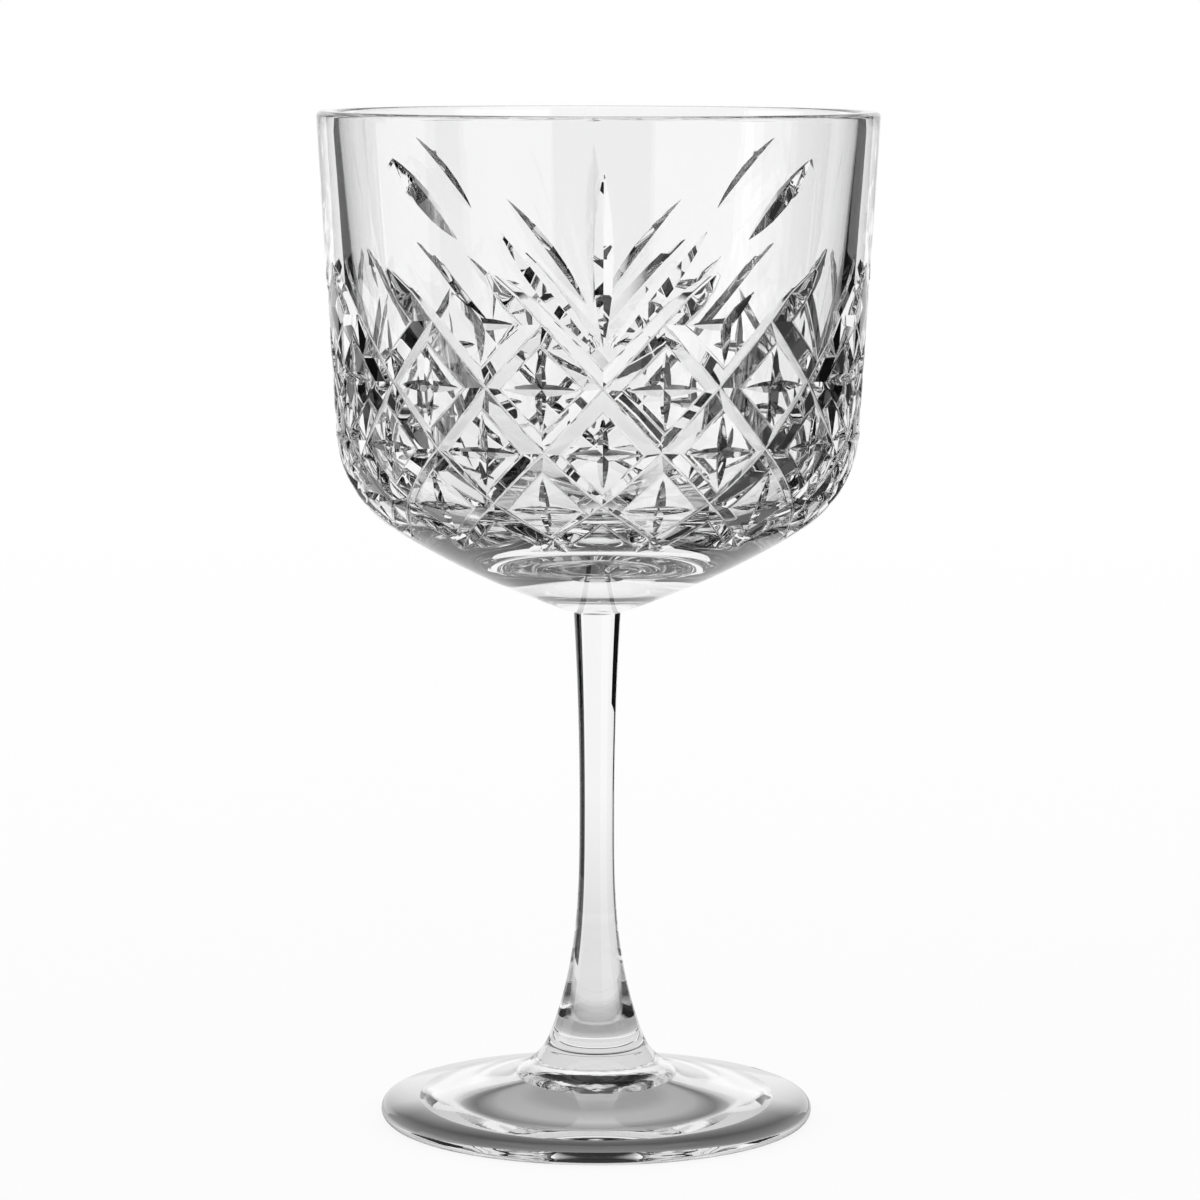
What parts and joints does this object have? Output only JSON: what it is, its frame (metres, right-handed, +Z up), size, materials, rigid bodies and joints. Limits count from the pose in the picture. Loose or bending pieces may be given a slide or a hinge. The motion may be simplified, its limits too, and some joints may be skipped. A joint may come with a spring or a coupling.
{
  "type": "gin and tonic glass",
  "caption": "Stemmed gin and tonic glass in clear pressed glass, with a band of mitre-cut diamonds, stars and leaf fans round a wide bowl.",
  "frame": {"origin": "centre of the foot's standing ring, on the table", "axes": "+Z up along the glass's axis, front of the pattern towards -Y"},
  "size_m": [0.1098, 0.1098, 0.2],
  "materials": {
    "clear_glass": "polished clear, colourless"
  },
  "bodies": {
    "root": {"bowl": "clear_glass", "stem": "clear_glass", "foot": "clear_glass"}
  },
  "joints": []
}
